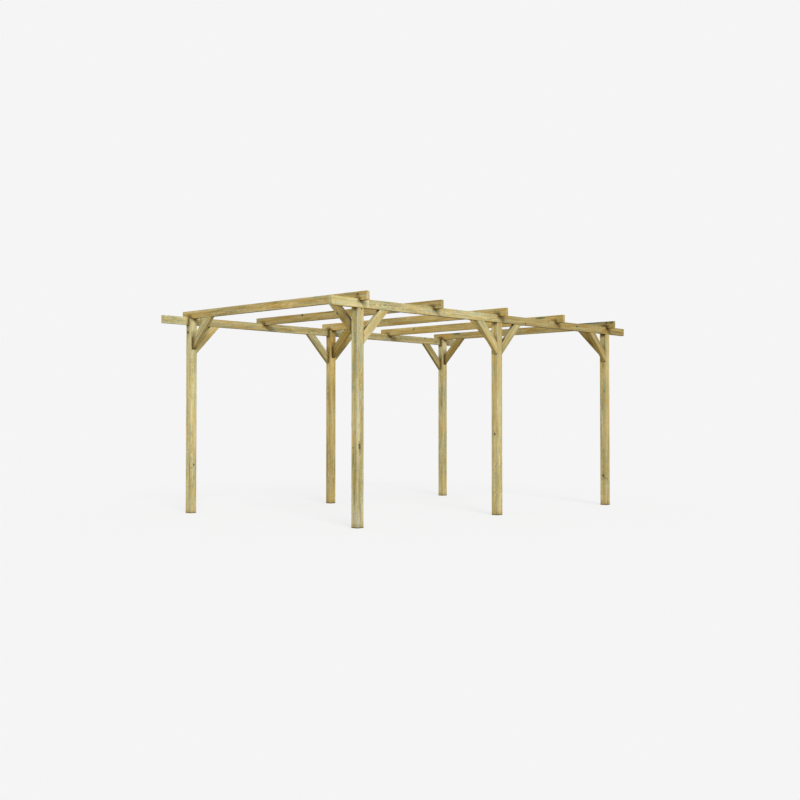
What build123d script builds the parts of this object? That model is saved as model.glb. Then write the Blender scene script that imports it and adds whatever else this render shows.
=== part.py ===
from build123d import *
import os

# Timber sections (mm)
post_width = 90.0
board_thickness = 45.0
board_depth = 94.0
edge_radius = 1.5

# Layout: two bays of posts, origin on the ground under the middle (mm)
bay_length = 2310.0
frame_width = 2880.0
beam_underside = 2277.0
beam_overhang = 362.0
rafter_overhang = 109.0
rafters_per_bay = 2

# Joinery (mm)
rafter_notch_depth = 20.0
rafter_notch_clearance = 0.5
splice_length = 90.0
splice_end_gap = 0.8
end_splice_offset = 80.0
brace_reach = 375.0

# Room left round a cut, so that it runs clean through (mm)
cut_margin = 50.0

# Heights and lines that follow
beam_top = beam_underside + board_depth
rafter_underside = beam_top - rafter_notch_depth
rafter_top = rafter_underside + board_depth
half_post = post_width / 2
half_board = board_thickness / 2
half_width = frame_width / 2
outer_face = half_width + half_post
beam_inner_face = outer_face - board_thickness
beam_line = outer_face - half_board
beam_end = bay_length + half_post + beam_overhang
rafter_end = outer_face + rafter_overhang

post_columns = {"left": -bay_length, "middle": 0.0, "right": bay_length}
sides = {"front": -1, "back": 1}


def block(x_ends, y_ends, z_ends):
    """A straight block between two ends along each axis."""
    x0, x1 = sorted(x_ends)
    y0, y1 = sorted(y_ends)
    z0, z1 = sorted(z_ends)
    centre = Pos((x0 + x1) / 2, (y0 + y1) / 2, (z0 + z1) / 2)
    return centre * Box(x1 - x0, y1 - y0, z1 - z0)


def timber(x_ends, y_ends, z_ends, grain):
    """A planed length of wood, its four long edges eased."""
    blank = block(x_ends, y_ends, z_ends)
    return fillet(blank.edges().filter_by(grain), edge_radius)


def post(x, side):
    """A square post, rebated at the head for the beam, with a tongue that runs on to the rafter."""
    y = side * half_width
    shaft = timber((x - half_post, x + half_post), (y - half_post, y + half_post), (0, rafter_underside), Axis.Z)
    rebate = block(
        (x - half_post - cut_margin, x + half_post + cut_margin),
        (side * beam_inner_face, side * (outer_face + cut_margin)),
        (beam_underside, rafter_underside + cut_margin),
    )
    return shaft - rebate


def halving(x_ends, side, cheek):
    """What is cut from a beam's end: cheek -1 takes away the front half of its thickness, 1 the back."""
    middle = side * beam_line
    return block(
        x_ends,
        (middle, middle + cheek * (half_board + cut_margin)),
        (beam_underside - cut_margin, beam_top + cut_margin),
    )


def beam_length(side, start, end, start_cheek=None, end_cheek=None):
    """One length of a beam from start to end, halved at the ends that have a cheek."""
    y = side * beam_line
    length = timber((start, end), (y - half_board, y + half_board), (beam_underside, beam_top), Axis.X)
    shoulder = splice_length + splice_end_gap
    if start_cheek:
        length -= halving((start - cut_margin, start + shoulder), side, start_cheek)
    if end_cheek:
        length -= halving((end - shoulder, end + cut_margin), side, end_cheek)
    return length


def beam(side):
    """A beam in four lengths, spliced inside each end post and over the middle post.

    Both beams are laid the same way round, so the same four lengths serve front and back.
    """
    end_splice = bay_length - half_post - end_splice_offset
    main_end = end_splice + splice_length
    return {
        "left_end_beam": beam_length(side, -beam_end, -end_splice, end_cheek=1),
        "left_beam": beam_length(side, -main_end, half_post, start_cheek=-1, end_cheek=1),
        "right_beam": beam_length(side, half_post - splice_length, main_end, start_cheek=-1, end_cheek=-1),
        "right_end_beam": beam_length(side, end_splice, beam_end, start_cheek=1),
    }


def rafter(x):
    """A rafter on edge, notched to drop over both beams."""
    length = timber(
        (x - half_board, x + half_board),
        (-rafter_end, rafter_end),
        (rafter_underside, rafter_top),
        Axis.Y,
    )
    for side in sides.values():
        length -= block(
            (x - half_board - cut_margin, x + half_board + cut_margin),
            (
                side * (beam_inner_face - rafter_notch_clearance),
                side * (outer_face + rafter_notch_clearance),
            ),
            (rafter_underside - cut_margin, beam_top),
        )
    return length


def brace():
    """A board set at 45 degrees, cut plumb against a post (x = 0) and level under a timber (z = 0)."""
    board = timber(
        (-brace_reach, brace_reach),
        (-half_board, half_board),
        (0, board_depth),
        Axis.X,
    )
    board = Pos(brace_reach / 2, 0, -brace_reach / 2) * Rot(0, -45, 0) * board
    corner = block((0, brace_reach), (-half_board, half_board), (-brace_reach, 0))
    return board & corner


def beam_brace(x, side, direction):
    """A brace from the post at x to the underside of the beam, leaning to -1 left or 1 right."""
    seat = Pos(x + direction * half_post, side * beam_line, beam_underside)
    turn = 0 if direction > 0 else 180
    return seat * Rot(0, 0, turn) * brace()


def rafter_brace(x, side):
    """A brace from the inner face of the post at x to the underside of the rafter above it."""
    seat = Pos(x, side * (half_width - half_post), rafter_underside)
    return seat * Rot(0, 0, -side * 90) * brace()


pieces = {}
for side_name, side in sides.items():
    for column, x in post_columns.items():
        pieces[f"{side_name}_{column}_post"] = post(x, side)
        pieces[f"{side_name}_{column}_rafter_brace"] = rafter_brace(x, side)
        if column != "right":
            pieces[f"{side_name}_{column}_post_right_brace"] = beam_brace(x, side, 1)
        if column != "left":
            pieces[f"{side_name}_{column}_post_left_brace"] = beam_brace(x, side, -1)
    for length_name, length in beam(side).items():
        pieces[f"{side_name}_{length_name}"] = length

rafter_spacing = bay_length / rafters_per_bay
for number in range(2 * rafters_per_bay + 1):
    pieces[f"rafter_{number + 1}"] = rafter(-bay_length + number * rafter_spacing)

os.makedirs("parts", exist_ok=True)
for name, solid in pieces.items():
    export_step(solid, f"parts/{name}.step")

whole = Compound(children=list(pieces.values())).bounding_box()
print(len(pieces), "pieces from", whole.min, "to", whole.max)
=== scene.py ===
import math
import random

import bmesh
import bpy
from mathutils import Matrix, Vector


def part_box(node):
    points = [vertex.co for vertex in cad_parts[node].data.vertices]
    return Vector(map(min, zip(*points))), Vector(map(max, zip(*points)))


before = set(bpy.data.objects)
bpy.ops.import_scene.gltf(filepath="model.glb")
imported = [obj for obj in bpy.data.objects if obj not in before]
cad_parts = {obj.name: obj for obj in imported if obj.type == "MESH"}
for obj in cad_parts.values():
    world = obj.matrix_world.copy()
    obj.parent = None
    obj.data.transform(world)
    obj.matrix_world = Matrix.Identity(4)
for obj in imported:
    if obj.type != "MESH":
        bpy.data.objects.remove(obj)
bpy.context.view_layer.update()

# The boards of the beams, rafters and braces as built, and how near a timber's neighbours are (metres)
BOARD_THICKNESS = 0.045
BOARD_DEPTH = 0.094
NEIGHBOUR_GAP = 0.03

ALONG_BEAMS, ALONG_RAFTERS, UP = Vector((1, 0, 0)), Vector((0, 1, 0)), Vector((0, 0, 1))

# How light the end grain of most timbers is beside their faces
END_TONE = 1.04


def seen(red, green, blue):
    """A colour given as it looks on a screen, 0 to 255, as the linear colour that a shader takes."""

    def linear(part):
        part /= 255
        return part / 12.92 if part <= 0.04045 else ((part + 0.055) / 1.055) ** 2.4

    return linear(red), linear(green), linear(blue), 1.0


# The wood's own colours, each in pale sapwood and in honey brown
EARLY_WOOD = seen(214, 205, 160), seen(210, 189, 128)
GOLDEN_WOOD = seen(208, 188, 124), seen(200, 166, 88)
LATE_WOOD = seen(166, 152, 98), seen(160, 130, 64)

# The colours of marks that cover the wood
WASHED_WOOD = seen(216, 211, 188)
RUBBED_WOOD = seen(212, 202, 164)
KNOT_HALO = seen(140, 130, 84)
KNOT_CORE = seen(58, 48, 28), seen(106, 84, 48)
KNOT_BARK = seen(48, 46, 30)
OPEN_CRACK = seen(70, 58, 34)

# How much of the wood's red, green and blue each kind of mark lets through
# Painted warm shade, for honey past 1
WARM_SHADE_TINT = (1.0, 0.93, 0.55, 1)
STREAK_TINT = (0.56, 0.7, 0.9, 1)
FLECK_TINT = (0.55, 0.73, 1.2, 1)
FILM_TINT = (0.56, 0.84, 1.2, 1)
CRUST_TINT = (0.3, 0.46, 0.6, 1)
# Soiled places, and painted shade where they lie in shade
SOIL_AND_SHADE_TINT = (0.42, 0.38, 0.24, 1)
# Painted shade on undersides and on the upper faces of braces, which lie under other timbers
PAINTED_SHADE_TINT = (0.2, 0.15, 0.05, 1)
# Painted shade in the corners between timbers
CORNER_SHADE_TINT = (0.26, 0.2, 0.09, 1)
DAMP_TINT = (0.3, 0.27, 0.16, 1)
FIBRE_TINTS = (0.86, 0.85, 0.82, 1), (1.13, 1.13, 1.12, 1)

# Slow changes of colour along a timber: lanes of the grain, broad clouds, mottle and a drift of hue. Each row has its
# place in the noise, how many clouds to the metre, the span of the noise that counts, and the tints at its two ends.
COLOUR_DRIFTS = (
    ((0, 0, 0), (26, 26, 0.9), (0.36, 0.66), ((1.09, 1.09, 1.1, 1), (0.87, 0.87, 0.84, 1))),
    ((2.6, 9.3, 5.5), (7, 7, 1.4), (0.36, 0.64), ((1.08, 1.08, 1.08, 1), (0.92, 0.92, 0.91, 1))),
    ((0, 0, 0), (52, 52, 19), (0.3, 0.7), ((1.02, 1.04, 1.1, 1), (0.93, 0.93, 0.87, 1))),
    ((6.2, 3.3, 8.4), (28, 28, 5), (0.36, 0.64), ((1.045, 0.985, 0.95, 1), (0.96, 1.01, 1.04, 1))),
)

# What the finish of each timber is. tone is how light the wood is, honey how far it goes from pale sapwood to brown,
# green how much of the treatment's salts show, bleach how much of it is washed out. For timbers that stand in shade,
# as the rafter braces do, tone is lowered as painted shade and honey past 1 is a painted warm shade. ends is how light
# the end grain is where it isn't as on most, and log is the log that it is sawn from where that isn't its own. A knot
# is a point on a face and a radius. A figured stretch is a place along the timber (metres), half its length, and how
# wild its grain is. Stains (blue-green), soiled (dark), amber and washed places are a point on a face, their reach
# across and along the grain, and how strong they are. Soiled and amber places are painted shade where they lie in
# shade, as at the head of the back middle post.
LOOKS = {
    "front_left_post": dict(
        tone=0.965, honey=0.02, green=0.75, bleach=0.8,
        knots=[
            ((-2.325, -1.485, 0.857), 0.0095), ((-2.322, -1.485, 0.829), 0.011),
            # The last is a small dark mark just under the beam, drawn with a knot's core and bark
            ((-2.355, -1.424, 0.826), 0.006), ((-2.297, -1.485, 2.267), 0.008),
        ],
        figured=[(1.42, 0.22, 0.5), (0.72, 0.14, 0.5)],
        stains=[
            ((-2.334, -1.485, 0.843), (0.006, 0.03), 1.0), ((-2.313, -1.485, 0.845), (0.006, 0.03), 0.9),
            ((-2.319, -1.485, 0.785), (0.006, 0.045), 1.0), ((-2.355, -1.424, 0.715), (0.007, 0.075), 1.0),
            ((-2.355, -1.42, 0.832), (0.006, 0.02), 0.8), ((-2.332, -1.485, 1.05), (0.005, 0.05), 0.9),
            ((-2.355, -1.452, 0.985), (0.006, 0.035), 0.9), ((-2.355, -1.4, 1.07), (0.006, 0.05), 0.8),
            ((-2.3, -1.485, 0.97), (0.006, 0.03), 0.8),
        ],
        soiled_and_shaded=[((-2.355, -1.453, 0.55), (0.009, 0.6), 0.75), ((-2.301, -1.485, 1.165), (0.007, 0.04), 0.5)],
        amber_and_warm_shade=[((-2.355, -1.434, 0.62), (0.012, 0.4), 0.8), ((-2.302, -1.485, 1.17), (0.008, 0.06), 0.9)],
        washed=[
            ((-2.31, -1.485, 1.36), (0.02, 0.09), 0.9), ((-2.304, -1.485, 1.75), (0.01, 0.05), 1.0),
            ((-2.304, -1.485, 1.56), (0.008, 0.05), 1.0), ((-2.341, -1.485, 0.35), (0.007, 0.25), 0.45),
        ],
    ),
    "front_middle_post": dict(
        tone=0.965, honey=0.22, green=0.5, bleach=0.2,
        knots=[((-0.045, -1.443, 0.957), 0.010)],
        figured=[(0.42, 0.34, 0.9)],
    ),
    "front_right_post": dict(
        tone=0.94, honey=0.3, green=0.6, bleach=0.1,
        knots=[((2.265, -1.441, 0.391), 0.012), ((2.265, -1.474, 0.352), 0.006)],
        figured=[(0.42, 0.3, 0.9)],
        stains=[((2.265, -1.459, 1.517), (0.008, 0.03), 1.0)],
        soiled_and_shaded=[((2.265, -1.447, 1.865), (0.01, 0.035), 1.0), ((2.265, -1.458, 0.372), (0.012, 0.012), 0.9)],
    ),
    "back_left_post": dict(
        tone=1.05, honey=0.05, green=0.5, bleach=0.3,
        knots=[
            ((-2.355, 1.448, 2.185), 0.0145), ((-2.355, 1.473, 2.204), 0.006), ((-2.305, 1.395, 0.583), 0.009),
        ],
        figured=[(0.52, 0.34, 1.0), (1.83, 0.13, 0.7)],
    ),
    "back_middle_post": dict(
        tone=0.98, honey=0.66, green=0.45, bleach=0.0,
        figured=[(0.48, 0.28, 0.8), (1.5, 0.2, 0.5)],
        # Painted shade: amber and soiled patches at the head of the post, under the beam and beside its brace, make it
        # darker and warmer
        amber_and_warm_shade=[((-0.045, 1.4, 2.35), (0.2, 0.35), 0.9)],
        soiled_and_shaded=[((-0.045, 1.4, 2.33), (0.2, 0.22), 0.6)],
    ),
    "back_right_post": dict(
        tone=1.01, honey=0.25, green=0.75, bleach=0.1, figured=[(0.58, 0.24, 1.0), (1.9, 0.2, 0.5)],
    ),
    "front_left_end_beam": dict(
        tone=1.16, honey=0.04, green=0.2, bleach=0.3, ends=0.93,
        stains=[((-2.717, -1.462, 2.35), (0.016, 0.02), 0.5), ((-2.717, -1.472, 2.29), (0.018, 0.02), 0.6)],
    ),
    "front_left_beam": dict(
        tone=1.06, honey=0.12, green=0.6, bleach=0.3,
        figured=[(-1.87, 0.26, 1.15), (-0.2, 0.22, 1.1), (-1.1, 0.15, 0.5)],
    ),
    "front_right_beam": dict(
        tone=0.71, honey=0.66, green=0.25, bleach=0.0,
        knots=[((0.978, -1.485, 2.357), 0.007), ((1.589, -1.485, 2.334), 0.005)],
        stains=[((1.6, -1.485, 2.334), (0.014, 0.03), 0.8)],
    ),
    "front_right_end_beam": dict(
        tone=0.677, honey=1.1, green=0.3, bleach=0.0, stains=[((2.685, -1.485, 2.35), (0.01, 0.02), 0.6)],
    ),
    "back_left_end_beam": dict(tone=1.06, honey=0.02, green=0.7, bleach=0.2, figured=[(-2.6, 0.1, 0.8)]),
    "back_left_beam": dict(
        tone=0.82, honey=0.45, green=0.7, bleach=0.1, figured=[(-0.85, 0.22, 0.9), (-0.4, 0.15, 0.7)],
    ),
    "back_right_beam": dict(
        tone=0.8, honey=0.33, green=0.75, bleach=0.1,
        knots=[((1.913, 1.44, 2.357), 0.009)],
        figured=[(0.15, 0.12, 1.0), (1.12, 0.4, 1.0)],
        stains=[((0.13, 1.44, 2.32), (0.03, 0.06), 0.4), ((2.16, 1.44, 2.32), (0.03, 0.07), 0.6)],
    ),
    "back_right_end_beam": dict(tone=0.85, honey=0.55, green=0.9, bleach=0.1, figured=[(2.45, 0.15, 0.8)]),
    "rafter_1": dict(
        tone=0.975, honey=0.76, green=0.75, bleach=0.2,
        knots=[((-2.3325, -1.464, 2.416), 0.0105)],
        figured=[(0.62, 0.2, 1.0), (0.15, 0.1, 0.8), (-0.13, 0.1, 0.7)],
        amber_and_warm_shade=[((-2.3325, -0.126, 2.403), (0.014, 0.03), 1.0)],
        soiled_and_shaded=[((-2.3325, -0.126, 2.403), (0.008, 0.016), 0.5)],
        washed=[((-2.31, -1.594, 2.4), (0.05, 0.005), 0.9)],
    ),
    "rafter_2": dict(tone=0.81, honey=0.88, green=0.3, bleach=0.0, knots=[((-1.1775, 0.7, 2.43), 0.0105)]),
    "rafter_3": dict(tone=0.92, honey=0.83, green=0.45, bleach=0.0, figured=[(0.3, 0.22, 1.0)]),
    "rafter_4": dict(
        tone=0.93, honey=1.09, green=0.4, bleach=0.0,
        knots=[((1.1325, 0.946, 2.414), 0.009)],
        figured=[(-1.2, 0.12, 0.5)],
        stains=[((1.1325, -1.235, 2.427), (0.01, 0.09), 1.2)],
    ),
    "rafter_5": dict(
        tone=0.785, honey=0.93, green=0.8, bleach=0.0,
        knots=[((2.2875, -1.486, 2.428), 0.012)],
        figured=[(-1.25, 0.25, 0.7), (1.05, 0.15, 0.7)],
        stains=[
            ((2.2875, 1.15, 2.43), (0.02, 0.09), 0.8), ((2.2875, -1.2, 2.442), (0.012, 0.26), 1.5),
            ((2.2875, -1.56, 2.425), (0.028, 0.05), 0.8), ((2.2875, -1.53, 2.38), (0.008, 0.03), 0.7),
        ],
        soiled_and_shaded=[((2.2875, 1.09, 2.428), (0.012, 0.02), 0.7)],
    ),
    "front_left_post_right_brace": dict(
        tone=1.15, honey=0.3, green=0.5, bleach=0.2, stains=[((-2.16, -1.485, 1.99), (0.006, 0.05), 0.9)],
    ),
    "front_middle_post_left_brace": dict(
        tone=1.0, honey=0.08, green=0.5, bleach=0.1,
        stains=[((-0.305, -1.46, 2.135), (0.014, 0.03), 1.0), ((-0.2, -1.462, 2.03), (0.014, 0.025), 1.0)],
    ),
    "front_middle_post_right_brace": dict(tone=0.845, honey=0.14, green=0.4, bleach=0.1),
    "front_right_post_left_brace": dict(tone=0.755, honey=0.62, green=0.3, bleach=0.0),
    "back_left_post_right_brace": dict(tone=1.1, honey=0.75, green=0.4, bleach=0.0),
    "back_middle_post_left_brace": dict(tone=0.82, honey=0.15, green=0.7, bleach=0.0),
    "back_middle_post_right_brace": dict(tone=0.615, honey=1.08, green=0.4, bleach=0.0),
    "back_right_post_left_brace": dict(tone=0.64, honey=0.8, green=0.4, bleach=0.0),
    # The rafter braces' low tones and honey past 1 are partly painted shade, warm as the bounced light under the roof
    "front_left_rafter_brace": dict(
        tone=0.75, honey=1.0, green=0.9, bleach=0.0, log=61,
        stains=[((-2.3325, -1.157, 2.237), (0.01, 0.02), 1.0), ((-2.3325, -1.19, 2.17), (0.01, 0.12), 0.7)],
    ),
    "front_middle_rafter_brace": dict(tone=0.83, honey=1.05, green=0.3, bleach=0.0),
    "front_right_rafter_brace": dict(tone=0.47, honey=1.6, green=0.3, bleach=0.0),
    "back_left_rafter_brace": dict(tone=0.92, honey=0.12, green=0.6, bleach=0.0),
    "back_middle_rafter_brace": dict(tone=0.75, honey=1.4, green=0.8, bleach=0.0),
    "back_right_rafter_brace": dict(tone=0.61, honey=1.4, green=0.4, bleach=0.0),
}

# The kinds of patch in LOOKS, and the input of the pine that each one feeds
PATCH_INPUTS = {
    "figured": "Figured",
    "stains": "Stain",
    "washed": "Washed",
    "soiled_and_shaded": "Soiled And Shaded",
    "amber_and_warm_shade": "Amber",
}


class Timber:
    """One timber as a box of its own: x across its thickness, y across its depth, z along its grain."""

    def __init__(self, name, number):
        low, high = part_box(name)
        self.name, self.number = name, number
        self.low, self.high = low, high
        self.centre = (low + high) / 2
        if name.endswith("_brace"):
            run = self.run()
            thickness, self.grain = run.cross(UP), (run + UP).normalized()
            self.centre -= (run - UP).normalized() * BOARD_DEPTH / 2
        elif name.endswith("_post"):
            thickness, self.grain = ALONG_BEAMS, UP
        elif name.endswith("_beam"):
            thickness, self.grain = ALONG_RAFTERS, ALONG_BEAMS
        else:
            thickness, self.grain = ALONG_BEAMS, ALONG_RAFTERS
        self.turn = Matrix((thickness, self.grain.cross(thickness), self.grain)).transposed()
        if name.endswith("_brace"):
            size = Vector((BOARD_THICKNESS, BOARD_DEPTH, (high.z - low.z) * math.sqrt(2)))
        else:
            size = self.turn.transposed() @ (high - low)
        self.half = Vector([abs(part) / 2 for part in size])

    def run(self):
        """The level direction in which a brace leans away from its post."""
        if self.name.endswith("_rafter_brace"):
            return ALONG_RAFTERS if self.name.startswith("front") else -ALONG_RAFTERS
        return ALONG_BEAMS if self.name.endswith("_right_brace") else -ALONG_BEAMS

    def own(self, point):
        """A point of the pergola, in this timber's own directions."""
        return self.turn.transposed() @ (Vector(point) - self.centre)

    def face_at(self, point):
        """The outward direction of the long face that a point lies on, in this timber's own directions."""
        place = self.own(point)
        gaps = [(self.half[i] - abs(place[i]), i) for i in (0, 1)]
        across = min(gaps)[1]
        return Vector([math.copysign(1, place[i]) if i == across else 0 for i in range(3)])

    def near(self, other, reach):
        """True if the two timbers' boxes come within reach of each other."""
        return all(
            self.low[i] - reach < other.high[i] and other.low[i] - reach < self.high[i] for i in range(3)
        )


class Sheet:
    """A node tree that is filled in line by line. Each line gives back the socket that it puts out."""

    def __init__(self, tree):
        self.tree = tree

    def node(self, kind, feeds=None, **settings):
        made = self.tree.nodes.new("ShaderNode" + kind)
        for name, value in settings.items():
            setattr(made, name, value)
        for where, value in (feeds or {}).items():
            self.join(value, made.inputs[where])
        return made

    def join(self, value, socket):
        """Feeds a socket from another one, or sets a plain value on it."""
        if isinstance(value, bpy.types.NodeSocket):
            self.tree.links.new(value, socket)
        else:
            socket.default_value = value

    def place(self, group, feeds):
        """A node group in use, as all that it puts out."""
        made = self.tree.nodes.new("ShaderNodeGroup")
        made.node_tree = group
        for where, value in feeds.items():
            self.join(value, made.inputs[where])
        return made.outputs

    def calc(self, operation, *values, clamp=False):
        feeds = dict(enumerate(values))
        return self.node("Math", feeds, operation=operation, use_clamp=clamp).outputs[0]

    def times(self, product, *factors):
        for factor in factors:
            product = self.calc("MULTIPLY", product, factor)
        return product

    def hill(self, distance):
        """1 at no distance, sinking smoothly to almost nothing at a distance of 2."""
        euler = 2.718
        return self.calc("POWER", euler, self.times(distance, distance, -1.0))

    def vec(self, operation, *values, scale=None):
        feeds = dict(enumerate(values))
        if scale is not None:
            feeds["Scale"] = scale
        made = self.node("VectorMath", feeds, operation=operation)
        return made.outputs["Value" if operation in ("LENGTH", "DOT_PRODUCT") else "Vector"]

    def parts(self, vector):
        return self.node("SeparateXYZ", {0: vector}).outputs

    def grey(self, level):
        """The same level in all three parts of a colour."""
        return self.node("CombineXYZ", {0: level, 1: level, 2: level}).outputs[0]

    def ease(self, value, start, end):
        """0 up to start and 1 from end on, with a soft rise between."""
        feeds = {"Value": value, "From Min": start, "From Max": end}
        return self.node("MapRange", feeds, interpolation_type="SMOOTHSTEP").outputs["Result"]

    def noise(self, vector, stretch, detail=1.0, part="Fac", roughness=0.5):
        """Cloudy noise with so many clouds to the metre across, through and along the timber."""
        place = self.vec("MULTIPLY", vector, stretch)
        feeds = {"Vector": place, "Scale": 1.0, "Detail": detail, "Roughness": roughness}
        return self.node("TexNoise", feeds).outputs[part]

    def swing(self, vector, stretch, detail=1.0, roughness=0.5):
        """The same noise, to either side of nought."""
        return self.calc("SUBTRACT", self.noise(vector, stretch, detail, roughness=roughness), 0.5)

    def blend(self, share, first, second, mode="MIX"):
        made = self.node("Mix", data_type="RGBA", blend_type=mode, clamp_factor=True)
        for where, value in ((0, share), (6, first), (7, second)):
            self.join(value, made.inputs[where])
        return made.outputs[2]

    def multiply(self, colour, tint):
        return self.blend(1.0, colour, tint, "MULTIPLY")

    def tinted(self, share, colour, tint):
        """A colour, with a share of it multiplied by a tint."""
        return self.blend(share, colour, self.multiply(colour, tint))

    def fade(self, share, first, second):
        """Between two plain values, as blend is between two colours."""
        made = self.node("Mix", data_type="FLOAT", clamp_factor=True)
        for where, value in ((0, share), (2, first), (3, second)):
            self.join(value, made.inputs[where])
        return made.outputs[0]


# The kinds of socket that a group can have, and what most of them start from
SOCKETS = {"value": "NodeSocketFloat", "vector": "NodeSocketVector", "colour": "NodeSocketColor"}
POINT = ("vector", (0, 0, 0))
NOUGHT = ("value", 0)
HALF_POST = ("vector", (0.045, 0.045, 1))


def new_group(name, takes, gives):
    """An empty shader node group with its sockets, as a sheet, what it takes in and what it puts out."""
    tree = bpy.data.node_groups.new(name, "ShaderNodeTree")
    for label, (kind, start) in takes.items():
        socket = tree.interface.new_socket(label, in_out="INPUT", socket_type=SOCKETS[kind])
        socket.default_value = start
    for label, kind in gives.items():
        tree.interface.new_socket(label, in_out="OUTPUT", socket_type=SOCKETS[kind])
    entry = tree.nodes.new("NodeGroupInput")
    leave = tree.nodes.new("NodeGroupOutput")
    return Sheet(tree), entry.outputs, leave.inputs


def finish_group(sheet, gives, results):
    for label, socket in results.items():
        sheet.join(socket, gives[label])
    return sheet.tree


def branch_knot_group():
    """A branch that grew out of the heart: its hard core, its dark bark, and the grain that flows round it."""
    sheet, takes, gives = new_group(
        "Branch knot",
        {
            "Vector": POINT,
            "Centre": POINT,
            "Direction": ("vector", (1, 0, 0)),
            "Radius": ("value", 0.01),
            "Depth": ("value", 0.05),
            "Core": NOUGHT,
            "Bark": NOUGHT,
            "Grain Flow": NOUGHT,
        },
        {"Core": "value", "Bark": "value", "Grain Flow": "value"},
    )
    # Edges, raggedness and the flow's reach and height are shares of the knot's radius, the root is in metres
    core_edge, bark_inside, bark_outside = (1.0, 0.72), (0.66, 0.92), (1.32, 1.0)
    raggedness, flow_reach, flow_height, flow_along = 0.9, 2.1, 1.7, 0.42
    root_length = 0.012

    from_centre = sheet.vec("SUBTRACT", takes["Vector"], takes["Centre"])
    along = sheet.vec("DOT_PRODUCT", from_centre, takes["Direction"])
    on_axis = sheet.vec("SCALE", takes["Direction"], scale=along)
    aside = sheet.vec("SUBTRACT", from_centre, on_axis)
    buried = sheet.times(takes["Depth"], -1.0)
    there = sheet.ease(along, sheet.calc("SUBTRACT", buried, root_length), buried)
    away = sheet.calc("DIVIDE", sheet.vec("LENGTH", aside), takes["Radius"])
    ragged = sheet.swing(takes["Vector"], (85, 85, 60), 2)
    away = sheet.calc("MULTIPLY_ADD", ragged, raggedness, away)
    core = sheet.times(sheet.ease(away, *core_edge), there)
    bark = sheet.times(sheet.ease(away, *bark_inside), sheet.ease(away, *bark_outside), there)
    lens = sheet.vec("LENGTH", sheet.vec("MULTIPLY", aside, (1, 1, flow_along)))
    spread = sheet.calc("DIVIDE", lens, sheet.times(takes["Radius"], flow_reach))
    flow = sheet.times(sheet.times(sheet.hill(spread), there), sheet.times(takes["Radius"], flow_height))
    return finish_group(
        sheet,
        gives,
        {
            "Core": sheet.calc("MAXIMUM", takes["Core"], core),
            "Bark": sheet.calc("MAXIMUM", takes["Bark"], bark),
            "Grain Flow": sheet.calc("ADD", takes["Grain Flow"], flow),
        },
    )


def patch_group():
    """A soft patch at one place of a timber, added to the patches that come before it."""
    sheet, takes, gives = new_group(
        "Patch",
        {
            "Vector": POINT,
            "Centre": POINT,
            "Reach": ("vector", (0.05, 0.05, 0.2)),
            "Strength": ("value", 1),
            "Mask": NOUGHT,
        },
        {"Mask": "value"},
    )
    from_centre = sheet.vec("SUBTRACT", takes["Vector"], takes["Centre"])
    off = sheet.vec("LENGTH", sheet.vec("DIVIDE", from_centre, takes["Reach"]))
    mask = sheet.times(sheet.hill(off), takes["Strength"])
    return finish_group(sheet, gives, {"Mask": sheet.calc("MAXIMUM", takes["Mask"], mask)})


def corner_darkening_group():
    """Painted shade in the corner that a face makes with a neighbour, here a box that may be turned, with a dark line
    along the joint. With the ground as the neighbour, it gives the damp at the foot of a post.

    A point a step out from the face is tried: the nearer it is to the neighbour, the deeper in the corner the face is.
    """
    sheet, takes, gives = new_group(
        "Corner darkening",
        {
            "Position": POINT,
            "Normal": ("vector", (0, 0, 1)),
            "Centre": POINT,
            "Turn": POINT,
            "Half Size": ("vector", (0.05, 0.05, 1)),
            "Step": ("value", 0.05),
            "Reach": ("value", 0.05),
            "Amount": ("value", 1),
            "Seam": NOUGHT,
            "Corner Darkening": NOUGHT,
        },
        {"Corner Darkening": "value"},
    )
    # The dark core of the painted shade is a share of the soft shade's reach, the seam's edges are in metres
    soft_share, core_share, core_edge = 1.0, 0.3, 0.8
    seam_edges = (0.007, 0.0015)
    start = sheet.vec("SUBTRACT", takes["Position"], takes["Centre"])

    def gap_from(probe):
        feeds = {"Vector": probe, "Rotation": takes["Turn"]}
        turned = sheet.node("VectorRotate", feeds, rotation_type="EULER_XYZ", invert=True).outputs[0]
        outside = sheet.vec("SUBTRACT", sheet.vec("ABSOLUTE", turned), takes["Half Size"])
        return sheet.vec("LENGTH", sheet.vec("MAXIMUM", outside, (0, 0, 0)))

    def closeness(share):
        reach = sheet.times(takes["Reach"], share)
        step = sheet.times(takes["Step"], share)
        probe = sheet.vec("ADD", start, sheet.vec("SCALE", takes["Normal"], scale=step))
        return sheet.calc("SUBTRACT", 1.0, sheet.calc("DIVIDE", gap_from(probe), reach), clamp=True)

    soft = sheet.times(sheet.ease(closeness(soft_share), 0.0, 1.0), takes["Amount"])
    mask = sheet.calc("MAXIMUM", soft, sheet.ease(closeness(core_share), 0.0, core_edge))
    seam = sheet.times(sheet.ease(gap_from(start), *seam_edges), takes["Seam"])
    mask = sheet.calc("MAXIMUM", mask, seam)
    clean = sheet.times(sheet.calc("SUBTRACT", 1.0, takes["Corner Darkening"]), sheet.calc("SUBTRACT", 1.0, mask))
    return finish_group(sheet, gives, {"Corner Darkening": sheet.calc("SUBTRACT", 1.0, clean)})


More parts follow.
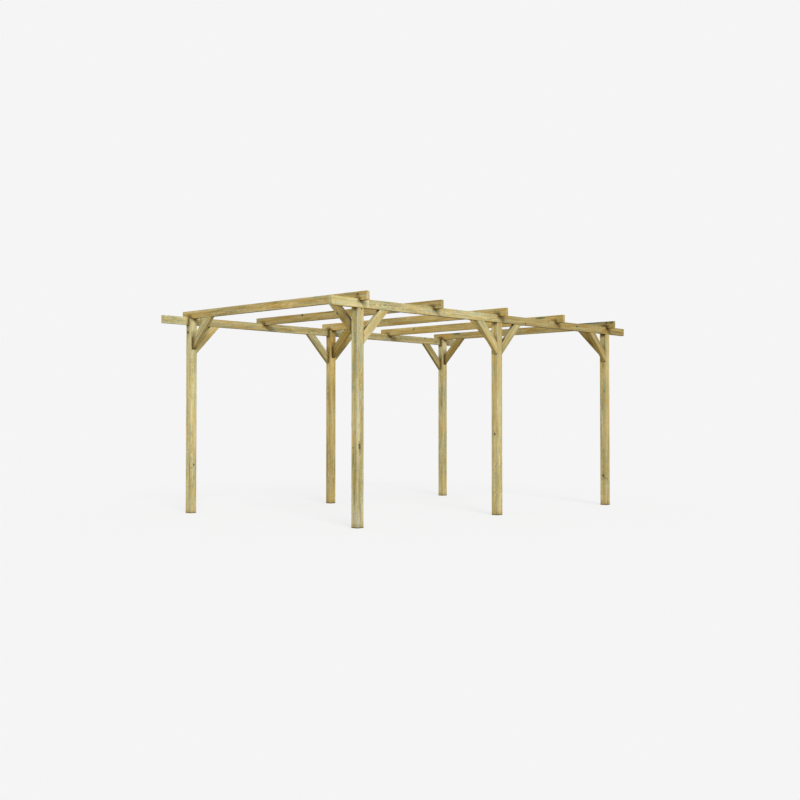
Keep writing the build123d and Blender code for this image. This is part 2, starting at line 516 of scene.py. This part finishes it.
def growth_rings_group():
    """Rings of early and late wood round the heart, with the wander that draws figure on a flat face."""
    sheet, takes, gives = new_group(
        "Growth rings",
        {
            "Vector": POINT,
            "Seed": POINT,
            "Heart": POINT,
            "Ring Width": ("value", 0.006),
            "Figured": NOUGHT,
            "Grain Flow": NOUGHT,
        },
        {"Late Wood": "value", "Year Tone": "value"},
    )
    # How far the heart drifts and each kind of wave moves a ring (metres)
    drift_size, wave_size, wild_size, ripple_size = 0.07, 0.016, 0.034, 0.0016
    # Where in a year the late wood begins and stops, and how slowly one year's tone turns into another's
    late_start, late_stop, tone_pace = (0.3, 0.86), (1.0, 0.93), 0.33

    place = sheet.vec("ADD", takes["Vector"], takes["Seed"])
    drift = sheet.noise(place, (0.7, 0.7, 0.9), 1, "Color")
    drift = sheet.vec("SUBTRACT", drift, (0.5, 0.5, 0.5))
    drift = sheet.vec("MULTIPLY", drift, (drift_size, drift_size, 0))
    across = sheet.vec("ADD", sheet.vec("SUBTRACT", takes["Vector"], takes["Heart"]), drift)
    radius = sheet.vec("LENGTH", sheet.vec("MULTIPLY", across, (1, 1, 0)))
    wave = sheet.swing(place, (7, 7, 2.2), 2)
    radius = sheet.calc("MULTIPLY_ADD", wave, wave_size, radius)
    wild = sheet.times(sheet.swing(place, (21, 21, 11), 1), takes["Figured"])
    radius = sheet.calc("MULTIPLY_ADD", wild, wild_size, radius)
    ripple = sheet.swing(place, (90, 90, 8), 2)
    radius = sheet.calc("MULTIPLY_ADD", ripple, ripple_size, radius)
    radius = sheet.calc("SUBTRACT", radius, takes["Grain Flow"])
    years = sheet.calc("DIVIDE", radius, takes["Ring Width"])
    share = sheet.calc("FRACT", years)
    late = sheet.times(sheet.ease(share, *late_start), sheet.ease(share, *late_stop))
    feeds = {"W": years, "Scale": tone_pace, "Detail": 1.0}
    tone = sheet.node("TexNoise", feeds, noise_dimensions="1D").outputs["Fac"]
    return finish_group(sheet, gives, {"Late Wood": late, "Year Tone": tone})


def copper_salts_group():
    """What pressure treatment leaves on pine: long green streaks, and flecks where the grain runs out."""
    sheet, takes, gives = new_group(
        "Copper salts",
        {
            "Vector": POINT,
            "Seed": POINT,
            "Amount": ("value", 0.5),
            "Figured": NOUGHT,
            "Stain": NOUGHT,
        },
        {"Streak": "value", "Fleck": "value", "Stain": "value"},
    )
    # The spans of the noise that count for each kind of mark, and for the patches that they come in
    streak_span, drip_span, fleck_span, cluster_span = (0.5, 0.68), (0.62, 0.9), (0.51, 0.6), (0.4, 0.56)
    streak_patch, fleck_patch = (0.46, 0.7), (0.4, 0.66)
    # How much wild grain and the amount of salts widen the patches, and a stain the drips
    figured_share, amount_share, stain_share = 0.3, 0.18, 0.55
    amount = takes["Amount"]
    place = sheet.vec("ADD", takes["Vector"], takes["Seed"])

    def clouds(shift, stretch, detail, roughness=0.5):
        return sheet.noise(sheet.vec("ADD", place, shift), stretch, detail, roughness=roughness)

    patch = clouds((3.1, 7.7, 1.3), (9, 9, 1.6), 2)
    patch = sheet.calc("MULTIPLY_ADD", takes["Figured"], figured_share, patch)
    patch = sheet.calc("MULTIPLY_ADD", amount, amount_share, patch)
    streak = clouds((1.7, 2.9, 9.1), (62, 62, 4.5), 3)
    dripped = sheet.calc("MULTIPLY_ADD", takes["Stain"], stain_share, streak)
    dripped = sheet.ease(dripped, *drip_span)
    spread = sheet.times(sheet.ease(patch, *streak_patch), amount)
    streak = sheet.times(sheet.ease(streak, *streak_span), spread)
    fleck = sheet.ease(clouds((5.3, 0.4, 2.2), (82, 82, 48), 3, 0.62), *fleck_span)
    cluster = sheet.ease(clouds((8.8, 6.1, 4.7), (30, 30, 13), 1), *cluster_span)
    fleck = sheet.times(fleck, cluster, sheet.ease(patch, *fleck_patch))
    fleck = sheet.times(fleck, sheet.calc("MULTIPLY_ADD", amount, 0.7, 0.4))
    fleck = sheet.calc("MINIMUM", fleck, 1.0)
    return finish_group(sheet, gives, {"Streak": streak, "Fleck": fleck, "Stain": dripped})


def drying_check_group():
    """Hairline cracks along the grain, which open from the face towards the heart as a timber dries."""
    sheet, takes, gives = new_group(
        "Drying check",
        {"Vector": POINT, "Seed": POINT, "Heart": POINT, "Amount": ("value", 0.5)},
        {"Check": "value"},
    )
    # Half the crack's width where it is widest and where it is closed, as shares of the noise
    widest, closed = 0.008, 0.00001
    opening_span, crack_edge = (0.5, 0.72), 0.6
    from_heart = sheet.parts(sheet.vec("SUBTRACT", takes["Vector"], takes["Heart"]))
    angle = sheet.calc("ARCTAN2", from_heart["Y"], from_heart["X"])
    polar = sheet.node("CombineXYZ", {0: angle, 1: 0.0, 2: from_heart["Z"]}).outputs[0]
    polar = sheet.vec("ADD", polar, takes["Seed"])
    line = sheet.calc("ABSOLUTE", sheet.swing(polar, (1.9, 1, 0.4), 1, roughness=0.3))
    opening = sheet.noise(sheet.vec("ADD", takes["Vector"], takes["Seed"]), (4, 4, 1.7), 1)
    width = sheet.times(sheet.ease(opening, *opening_span), sheet.times(takes["Amount"], widest))
    off_line = sheet.calc("DIVIDE", line, sheet.calc("MAXIMUM", width, closed))
    check = sheet.calc("SUBTRACT", 1.0, off_line, clamp=True)
    return finish_group(sheet, gives, {"Check": sheet.ease(check, 0.0, crack_edge)})


def worn_arris_group():
    """The rounded long edges of a timber, where handling has rubbed the surface."""
    sheet, takes, gives = new_group(
        "Worn arris",
        {"Vector": POINT, "Half Size": HALF_POST, "Reach": ("value", 0.004)},
        {"Arris": "value"},
    )
    nibble_span = (0.36, 0.62)
    gap = sheet.parts(sheet.vec("SUBTRACT", takes["Half Size"], sheet.vec("ABSOLUTE", takes["Vector"])))
    both = sheet.times(sheet.ease(gap["X"], takes["Reach"], 0.0), sheet.ease(gap["Y"], takes["Reach"], 0.0))
    nibbled = sheet.ease(sheet.noise(takes["Vector"], (60, 60, 22), 2), *nibble_span)
    return finish_group(sheet, gives, {"Arris": sheet.times(both, nibbled)})


def treated_pine_group(groups):
    """Pressure-treated pine from the heart out: its colour, its roughness, and its height in millimetres."""
    sheet, takes, gives = new_group(
        "Treated pine",
        {
            "Vector": POINT,
            "Seed": POINT,
            "Heart": POINT,
            "Half Size": HALF_POST,
            "Ring Width": ("value", 0.006),
            "Tone And Shade": ("value", 1),
            "Honey And Warm Shade": NOUGHT,
            "Green": ("value", 0.5),
            "Bleach": NOUGHT,
            "Figured": NOUGHT,
            "Stain": NOUGHT,
            "Washed": NOUGHT,
            "Soiled And Shaded": NOUGHT,
            "Amber": NOUGHT,
            "Painted Shade": NOUGHT,
            "Core": NOUGHT,
            "Bark": NOUGHT,
            "Grain Flow": NOUGHT,
            "End Grain": NOUGHT,
            "End Tone": ("value", END_TONE),
            "Corner Darkening": NOUGHT,
            "Damp": NOUGHT,
        },
        {"Color": "colour", "Roughness": "value", "Height": "value"},
    )
    shared = {"Vector": takes["Vector"], "Seed": takes["Seed"]}
    place = sheet.vec("ADD", takes["Vector"], takes["Seed"])
    ring_feeds = {label: takes[label] for label in ("Heart", "Ring Width", "Figured", "Grain Flow")}
    rings = sheet.place(groups["growth rings"], {**shared, **ring_feeds})
    salt_feeds = {"Amount": takes["Green"], "Figured": takes["Figured"], "Stain": takes["Stain"]}
    salts = sheet.place(groups["copper salts"], {**shared, **salt_feeds})
    check_feeds = {"Heart": takes["Heart"], "Amount": 0.6}
    check = sheet.place(groups["drying check"], {**shared, **check_feeds})["Check"]
    arris_feeds = {"Vector": takes["Vector"], "Half Size": takes["Half Size"]}
    arris = sheet.place(groups["worn arris"], arris_feeds)["Arris"]
    end_grain = takes["End Grain"]

    # Wood: sapwood to honey, light early wood to dark late wood, in lanes that run the length of the timber
    honey_swing, golden_span = 0.8, (0.42, 0.62)
    least_depth, year_depth, figured_depth = 0.04, 0.52, 0.55
    honey = sheet.calc("ADD", takes["Honey And Warm Shade"], takes["Amber"])
    honey = sheet.calc("MULTIPLY_ADD", sheet.swing(place, (12, 12, 1.3), 2), honey_swing, honey, clamp=True)
    golden_lanes = sheet.ease(sheet.noise(place, (38, 38, 2.4), 3), *golden_span)
    early = sheet.blend(golden_lanes, sheet.blend(honey, *EARLY_WOOD), sheet.blend(honey, *GOLDEN_WOOD))
    late = sheet.blend(honey, *LATE_WOOD)
    depth = sheet.calc("MULTIPLY_ADD", rings["Year Tone"], year_depth, least_depth)
    depth = sheet.calc("MULTIPLY_ADD", takes["Figured"], figured_depth, depth)
    wood = sheet.blend(sheet.calc("MULTIPLY", rings["Late Wood"], depth, clamp=True), early, late)
    for shift, stretch, span, tints in COLOUR_DRIFTS:
        drift = sheet.ease(sheet.noise(sheet.vec("ADD", place, shift), stretch, 2), *span)
        wood = sheet.multiply(wood, sheet.blend(drift, *tints))
    fibre = sheet.noise(place, (520, 520, 16), 2)
    wood = sheet.multiply(wood, sheet.blend(fibre, *FIBRE_TINTS))

    # Washed-out lanes, and painted warm shade: a warmer brown for honey past 1
    washed_share, pale_span, pale_cover = 0.2, (0.5, 0.68), 0.75
    pale = sheet.noise(place, (26, 26, 1.9), 3)
    pale = sheet.calc("MULTIPLY_ADD", takes["Washed"], washed_share, pale)
    pale = sheet.times(sheet.ease(pale, *pale_span), sheet.calc("MAXIMUM", takes["Bleach"], takes["Washed"]))
    wood = sheet.blend(sheet.times(pale, pale_cover), wood, WASHED_WOOD)
    warm_shade = sheet.calc("SUBTRACT", takes["Honey And Warm Shade"], 1.0, clamp=True)
    wood = sheet.tinted(warm_shade, wood, WARM_SHADE_TINT)

    # Treatment: streaks and flecks, and stains that go from a blue-green film to a dark crust
    wood = sheet.tinted(salts["Streak"], wood, STREAK_TINT)
    wood = sheet.tinted(salts["Fleck"], wood, FLECK_TINT)
    film_span, crust_span = (0.0, 0.6), (0.55, 1.0)
    film, crust = sheet.multiply(wood, FILM_TINT), sheet.multiply(wood, CRUST_TINT)
    wood = sheet.blend(sheet.ease(salts["Stain"], *film_span), wood, film)
    wood = sheet.blend(sheet.ease(salts["Stain"], *crust_span), wood, crust)

    # Knots and cracks
    halo_span, halo_cover, bark_cover, crack_cover = (0.004, 0.018), 0.5, 0.9, 0.8
    halo = sheet.times(sheet.ease(takes["Grain Flow"], *halo_span), halo_cover)
    wood = sheet.blend(halo, wood, KNOT_HALO)
    core = sheet.blend(sheet.noise(place, (300, 300, 300), 2), *KNOT_CORE)
    wood = sheet.blend(takes["Core"], wood, core)
    wood = sheet.blend(sheet.times(takes["Bark"], bark_cover), wood, KNOT_BARK)
    wood = sheet.blend(sheet.times(check, crack_cover), wood, OPEN_CRACK)

    # Soiled places, some of them painted shade; painted shade on undersides and brace tops; edges, ends,
    # painted shade in the corners, and damp over the ground
    soil_span, rubbed_cover, uneven_swing, least_uneven = (0.2, 0.55), 0.3, 0.5, 0.75
    soiled_and_shaded = sheet.times(takes["Soiled And Shaded"], sheet.ease(sheet.noise(place, (90, 90, 9), 2), *soil_span))
    wood = sheet.tinted(soiled_and_shaded, wood, SOIL_AND_SHADE_TINT)
    # Painted shade on undersides and on the upper faces of braces
    wood = sheet.tinted(takes["Painted Shade"], wood, PAINTED_SHADE_TINT)
    wood = sheet.blend(sheet.times(arris, rubbed_cover), wood, RUBBED_WOOD)
    wood = sheet.tinted(end_grain, wood, sheet.grey(takes["End Tone"]))
    # Painted shade in the corners with other timbers, and damp at the foot of a post, both made uneven
    uneven = sheet.noise(place, (55, 55, 20), 2)
    uneven = sheet.calc("MULTIPLY_ADD", uneven, uneven_swing, least_uneven)
    for mask, tint in ((takes["Corner Darkening"], CORNER_SHADE_TINT), (takes["Damp"], DAMP_TINT)):
        wood = sheet.tinted(sheet.calc("MULTIPLY", mask, uneven, clamp=True), wood, tint)

    # The timber's own tone, lowered as painted shade on timbers that stand in shade, with no part of it as light as
    # white paint
    lightest = 0.92
    wood = sheet.multiply(wood, sheet.grey(takes["Tone And Shade"]))
    wood = sheet.vec("MINIMUM", wood, (lightest, lightest, lightest))

    early_rough, late_rough, salts_rough, knot_rough = 0.8, 0.68, 0.9, 0.55
    rough = sheet.fade(rings["Late Wood"], early_rough, late_rough)
    rough = sheet.fade(sheet.calc("MAXIMUM", salts["Fleck"], end_grain), rough, salts_rough)
    rough = sheet.fade(takes["Core"], rough, knot_rough)

    # Height in millimetres: raised late wood and fibres, open cracks, sunk bark and proud knots
    late_rise, fibre_rise, check_rise, bark_rise, knot_rise = 0.22, 0.16, -1.3, -0.6, 0.3
    height = sheet.times(rings["Late Wood"], late_rise)
    rises = ((fibre, fibre_rise), (check, check_rise), (takes["Bark"], bark_rise), (takes["Core"], knot_rise))
    for mask, rise in rises:
        height = sheet.calc("MULTIPLY_ADD", mask, rise, height)
    return finish_group(sheet, gives, {"Color": wood, "Roughness": rough, "Height": height})


def make_groups():
    groups = {
        "branch knot": branch_knot_group(),
        "patch": patch_group(),
        "corner darkening": corner_darkening_group(),
        "growth rings": growth_rings_group(),
        "copper salts": copper_salts_group(),
        "drying check": drying_check_group(),
        "worn arris": worn_arris_group(),
    }
    groups["treated pine"] = treated_pine_group(groups)
    return groups


def empty_sheet(owner):
    """The cleared node tree of a material or a world."""
    owner.use_nodes = True
    owner.node_tree.nodes.clear()
    return Sheet(owner.node_tree)


def hidden_knots(timber, chance):
    """Knots on the faces that look away from the camera, where a real timber has them as well."""
    share_across, share_along, radii = 0.7, 0.85, (0.005, 0.013)
    counts = (1, 2, 2, 3) if timber.half.z > 0.5 else (0, 1)
    sides = [i * side for i in (1, 2) for side in (-1, 1)]
    knots = []
    for _ in range(chance.choice(counts)):
        pick = chance.choice(sides)
        across, side = abs(pick) - 1, math.copysign(1, pick)
        spot = Vector((0, 0, 0))
        spot[across] = side * timber.half[across]
        spot[1 - across] = chance.uniform(-share_across, share_across) * timber.half[1 - across]
        spot.z = chance.uniform(-share_along, share_along) * timber.half.z
        normal = timber.turn @ Vector([side if i == across else 0 for i in range(3)])
        to_camera = normal.x < -0.5 or normal.y < -0.5
        if not to_camera:
            knots.append((timber.centre + timber.turn @ spot, chance.uniform(*radii)))
    return knots


def knot_masks(sheet, vector, timber, chance, groups):
    """The knots of a timber, as the three masks that the pine takes."""
    deepest, sideways, upwards = min(0.04, timber.half.x * 1.2), (-0.25, 0.25), (0.05, 0.3)
    masks = {"Core": 0.0, "Bark": 0.0, "Grain Flow": 0.0}
    for spot, radius in LOOKS[timber.name].get("knots", []) + hidden_knots(timber, chance):
        lean = Vector([chance.uniform(*limits) for limits in (sideways, sideways, upwards)])
        feeds = {
            "Vector": vector,
            "Centre": timber.own(spot),
            "Direction": (timber.face_at(spot) + lean).normalized(),
            "Radius": radius,
            "Depth": deepest,
        }
        knot = sheet.place(groups["branch knot"], {**feeds, **masks})
        masks = {label: knot[label] for label in masks}
    return masks


def patch_masks(sheet, vector, timber, groups):
    """The placed patches of a timber, as one mask for each kind."""
    masks = {}
    for kind, label in PATCH_INPUTS.items():
        mask = 0.0
        for spot, reach, strength in LOOKS[timber.name].get(kind, []):
            if kind == "figured":
                spot = timber.grain * spot + timber.centre - timber.grain * timber.centre.dot(timber.grain)
                reach = (1, 1, reach)
            else:
                reach = (reach[0], reach[0], reach[1])
            feeds = {"Vector": vector, "Centre": timber.own(spot), "Reach": reach, "Strength": strength}
            mask = sheet.place(groups["patch"], {**feeds, "Mask": mask})["Mask"]
        masks[label] = mask
    return masks


def corner_shade_between(timber, other):
    """How much painted shade a timber gets in its corner with another."""
    beside_post = other.name.endswith("_post")
    # A rafter brace beside a post gets a deeper, wider painted shade, which stands in for the post's shadow across it
    if timber.name.endswith("_rafter_brace") and beside_post:
        return {"Step": 0.018, "Reach": 0.078, "Amount": 1.0}
    if timber.name.endswith("_brace"):
        amount = 0.9 if beside_post else 0.45
    else:
        amount = 0.55 if other.name.endswith("_brace") else 0.8
    return {"Step": 0.052, "Reach": 0.052, "Amount": amount}


def seam_between(timber, other):
    """How dark a line shows along the joint, where a timber butts against the other's plain side."""
    butts = (
        timber.name.endswith("_brace")
        or other.name.startswith("rafter_")
        or (other.name.endswith("_beam") and not timber.name.endswith("_beam"))
    )
    return 0.8 if butts else 0.0


def corner_shade_and_damp_masks(sheet, position, normal, timber, timbers, groups):
    """Painted shade in the corners with the timber's neighbours, and damp at the foot of a post."""
    here = {"Position": position, "Normal": normal}
    corner_shade = damp = 0.0
    for other in timbers:
        if other is not timber and timber.near(other, NEIGHBOUR_GAP):
            feeds = {
                **here,
                "Centre": other.centre,
                "Turn": other.turn.to_euler(),
                "Half Size": other.half,
                **corner_shade_between(timber, other),
                "Seam": seam_between(timber, other),
                "Corner Darkening": corner_shade,
            }
            corner_shade = sheet.place(groups["corner darkening"], feeds)["Corner Darkening"]
    if timber.name.endswith("_post"):
        # The ground is one wide box under the feet
        ground = {"Centre": (0, 0, -1), "Half Size": (20, 20, 1), "Step": 0.07, "Reach": 0.07, "Amount": 0.4}
        damp = sheet.place(groups["corner darkening"], {**here, **ground})["Corner Darkening"]
    return {"Corner Darkening": corner_shade, "Damp": damp}


def painted_shade_mask(sheet, normal, timber):
    """Painted shade on undersides, and on the upper faces of a brace, which lie under the timber that it holds."""
    facing_up, facing_down = (0.3, 0.6), (-0.4, -0.85)
    level = sheet.parts(normal)["Z"]
    if timber.name.endswith("_brace"):
        strength = 0.55 if timber.name.endswith("_rafter_brace") else 0.3
        return sheet.times(sheet.ease(level, *facing_up), strength)
    return sheet.ease(level, *facing_down)


def pine_material(timber, timbers, groups):
    """The finish of one timber, sawn from a log of its own."""
    ring_widths, end_grain_span = (0.005, 0.0075), (0.5, 0.68)
    bump_strength, millimetre, shine = 0.8, 0.001, 0.25
    look = LOOKS[timber.name]
    chance = random.Random(look.get("log", timber.number))
    material = bpy.data.materials.new("pine_" + timber.name)
    sheet = empty_sheet(material)
    shader = sheet.node("BsdfPrincipled")
    sheet.node("OutputMaterial", {"Surface": shader.outputs[0]})
    position = sheet.node("TexCoord").outputs["Object"]
    normal = sheet.node("NewGeometry").outputs["True Normal"]
    feeds = {"Vector": position, "Location": timber.centre, "Rotation": timber.turn.to_euler()}
    vector = sheet.node("Mapping", feeds, vector_type="TEXTURE").outputs[0]

    # A post is sawn round the heart of its log, a board beside it (metres)
    seed_reach, off_centre, beside, aside = 20, 0.018, (0.045, 0.085), 0.03
    seed = tuple(chance.uniform(-seed_reach, seed_reach) for _ in range(3))
    if timber.name.endswith("_post"):
        heart = (chance.uniform(-off_centre, off_centre), chance.uniform(-off_centre, off_centre), 0)
    else:
        heart = (chance.choice((-1, 1)) * chance.uniform(*beside), chance.uniform(-aside, aside), 0)
    knots = knot_masks(sheet, vector, timber, chance, groups)
    along = sheet.calc("ABSOLUTE", sheet.vec("DOT_PRODUCT", normal, timber.grain))
    pine = sheet.place(
        groups["treated pine"],
        {
            "Vector": vector,
            "Seed": seed,
            "Heart": heart,
            "Half Size": timber.half,
            "Ring Width": chance.uniform(*ring_widths),
            "Tone And Shade": look["tone"],
            "Honey And Warm Shade": look["honey"],
            "Green": look["green"],
            "Bleach": look["bleach"],
            **patch_masks(sheet, vector, timber, groups),
            "Painted Shade": painted_shade_mask(sheet, normal, timber),
            "End Grain": sheet.ease(along, *end_grain_span),
            "End Tone": look.get("ends", END_TONE),
            **corner_shade_and_damp_masks(sheet, position, normal, timber, timbers, groups),
            **knots,
        },
    )
    bump = sheet.node("Bump", {"Height": pine["Height"], "Strength": bump_strength, "Distance": millimetre})
    sheet.join(pine["Color"], shader.inputs["Base Color"])
    sheet.join(pine["Roughness"], shader.inputs["Roughness"])
    sheet.join(bump.outputs[0], shader.inputs["Normal"])
    shader.inputs["Specular IOR Level"].default_value = shine
    return material


def finish_timbers(groups):
    timbers = [Timber(name, number) for number, name in enumerate(sorted(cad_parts))]
    for timber in timbers:
        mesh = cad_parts[timber.name].data
        mesh.materials.clear()
        mesh.materials.append(pine_material(timber, timbers, groups))


def add_object(name, data):
    """A new object of its own in the scene."""
    made = bpy.data.objects.new(name, data)
    bpy.context.scene.collection.objects.link(made)
    return made


def camera():
    """The photograph's camera: a 50 mm lens about a metre up, looking up a little at the front left corner."""
    tilt, heading = 91.30954, -46.56574
    made = add_object("camera", bpy.data.cameras.new("camera"))
    made.location = (-10.35528, -9.66249, 1.05873)
    made.rotation_euler = (math.radians(tilt), 0, math.radians(heading))
    made.data.lens = 50
    made.data.sensor_width = 36
    made.data.clip_end = 500
    bpy.context.scene.camera = made


def seen_directly(sheet):
    """1 for what the camera or a shiny surface looks at, 0 for what only sends light on."""
    path = sheet.node("LightPath").outputs
    return sheet.calc("MAXIMUM", path["Is Camera Ray"], path["Is Glossy Ray"])


def studio():
    """A pale floor that runs to the horizon, an even sky and one soft lamp from the front."""
    sky_level, lamp_level, lamp_spread = 0.7, 1.86, 20
    lamp_from = Vector((-0.6, -1.0, 0.65)).normalized()
    backdrop = seen(245, 245, 245)
    floor_reach, floor_glow, floor_bounce = 200, 0.7, (0.42, 0.36, 0.21, 1)

    world = bpy.data.worlds.new("studio")
    sheet = empty_sheet(world)
    light = sheet.node("Background", {"Color": (1, 1, 1, 1), "Strength": sky_level})
    shown = sheet.node("Background", {"Color": backdrop, "Strength": 1.0})
    mixed = sheet.node("MixShader", {0: seen_directly(sheet), 1: light.outputs[0], 2: shown.outputs[0]})
    sheet.node("OutputWorld", {"Surface": mixed.outputs[0]})
    bpy.context.scene.world = world

    lamp = add_object("soft_lamp", bpy.data.lights.new("soft_lamp", "SUN"))
    lamp.data.energy = lamp_level
    lamp.data.angle = math.radians(lamp_spread)
    lamp.rotation_euler = lamp_from.to_track_quat("Z", "Y").to_euler()

    mesh = bpy.data.meshes.new("floor")
    corners = bmesh.new()
    bmesh.ops.create_grid(corners, x_segments=1, y_segments=1, size=floor_reach)
    corners.to_mesh(mesh)
    corners.free()
    floor = add_object("floor", mesh)

    # The floor's plain colour is the backdrop's, divided by the light that falls on it
    material = bpy.data.materials.new("pale_floor")
    sheet = empty_sheet(material)
    level = sky_level + lamp_level * lamp_from.z / math.pi
    lit = sheet.node("BsdfDiffuse", {"Color": (*[part / level for part in backdrop[:3]], 1)})
    glow = sheet.node("Emission", {"Color": backdrop, "Strength": 1.0})
    pale = sheet.node("MixShader", {0: floor_glow, 1: lit.outputs[0], 2: glow.outputs[0]})
    dull = sheet.node("BsdfDiffuse", {"Color": floor_bounce})
    mixed = sheet.node("MixShader", {0: seen_directly(sheet), 1: dull.outputs[0], 2: pale.outputs[0]})
    sheet.node("OutputMaterial", {"Surface": mixed.outputs[0]})
    mesh.materials.append(material)
    bpy.context.scene.view_settings.view_transform = "Standard"


camera()
studio()
finish_timbers(make_groups())
